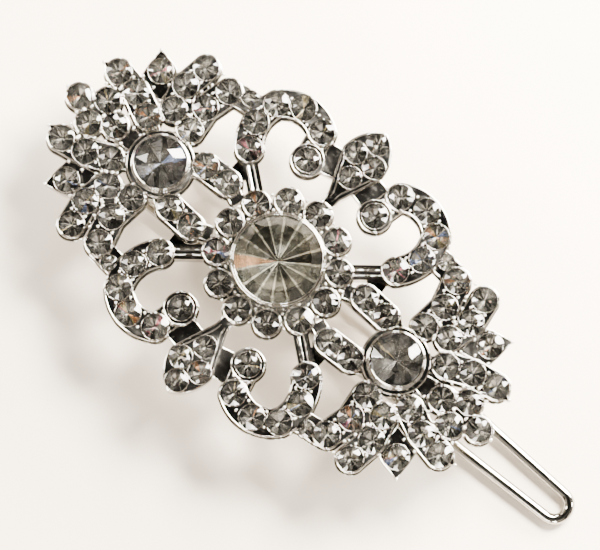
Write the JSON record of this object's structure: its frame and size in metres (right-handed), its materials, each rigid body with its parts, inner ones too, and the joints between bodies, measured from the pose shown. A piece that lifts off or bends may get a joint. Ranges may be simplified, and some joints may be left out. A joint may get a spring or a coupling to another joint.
{
  "type": "rhinestone hair clip",
  "caption": "Openwork oval ornament of plated castings set with round crystals, on a hinged wire loop that holds the hair.",
  "frame": {"origin": "middle of the flat back of the central bezel", "axes": "+X along the ornament towards the free end of the wire loop, +Z out of the back through the stones, +Y across the ornament"},
  "size_m": [0.0761, 0.0388, 0.0125],
  "materials": {
    "plated_casting": "polished",
    "spring_wire": "polished",
    "stamped_sheet": "satin",
    "crystal": "polished, foil-backed",
    "large_crystal": "polished, foil-backed"
  },
  "bodies": {
    "ornament": {"bar_lower_left": "plated_casting", "bar_lower_right": "plated_casting", "bar_stones_lower_left": "crystal", "bar_stones_lower_right": "crystal", "bar_stones_upper_left": "crystal", "bar_stones_upper_right": "crystal", "bar_upper_left": "plated_casting", "bar_upper_right": "plated_casting", "center_bezel": "plated_casting", "center_stone": "large_crystal", "end_bezel_left": "plated_casting", "end_bezel_right": "plated_casting", "end_stone_left": "crystal", "end_stone_right": "crystal", "fan_left": "plated_casting", "fan_right": "plated_casting", "fan_stones_left": "crystal", "fan_stones_right": "crystal", "flower_ring": "plated_casting", "flower_ring_stones": "crystal", "hinge_bracket": "stamped_sheet", "hinge_spring": "stamped_sheet", "leaf_lower": "plated_casting", "leaf_stones_lower": "crystal", "leaf_stones_upper": "crystal", "leaf_upper": "plated_casting", "loop_rest": "stamped_sheet", "scroll_lower_left": "plated_casting", "scroll_lower_right": "plated_casting", "scroll_stones_lower_left": "crystal", "scroll_stones_lower_right": "crystal", "scroll_stones_upper_left": "crystal", "scroll_stones_upper_right": "crystal", "scroll_upper_left": "plated_casting", "scroll_upper_right": "plated_casting", "stem_lower_left": "plated_casting", "stem_lower_right": "plated_casting", "stem_upper_left": "plated_casting", "stem_upper_right": "plated_casting"},
    "loop": {"wire_loop": "spring_wire"}
  },
  "joints": [
    {"name": "loop_hinge", "type": "hinge", "parent": "ornament", "child": "loop", "pos_m": [-0.0195, 0, -0.00505], "axis": [0, 1, 0], "range_deg": [0, 90]}
  ]
}
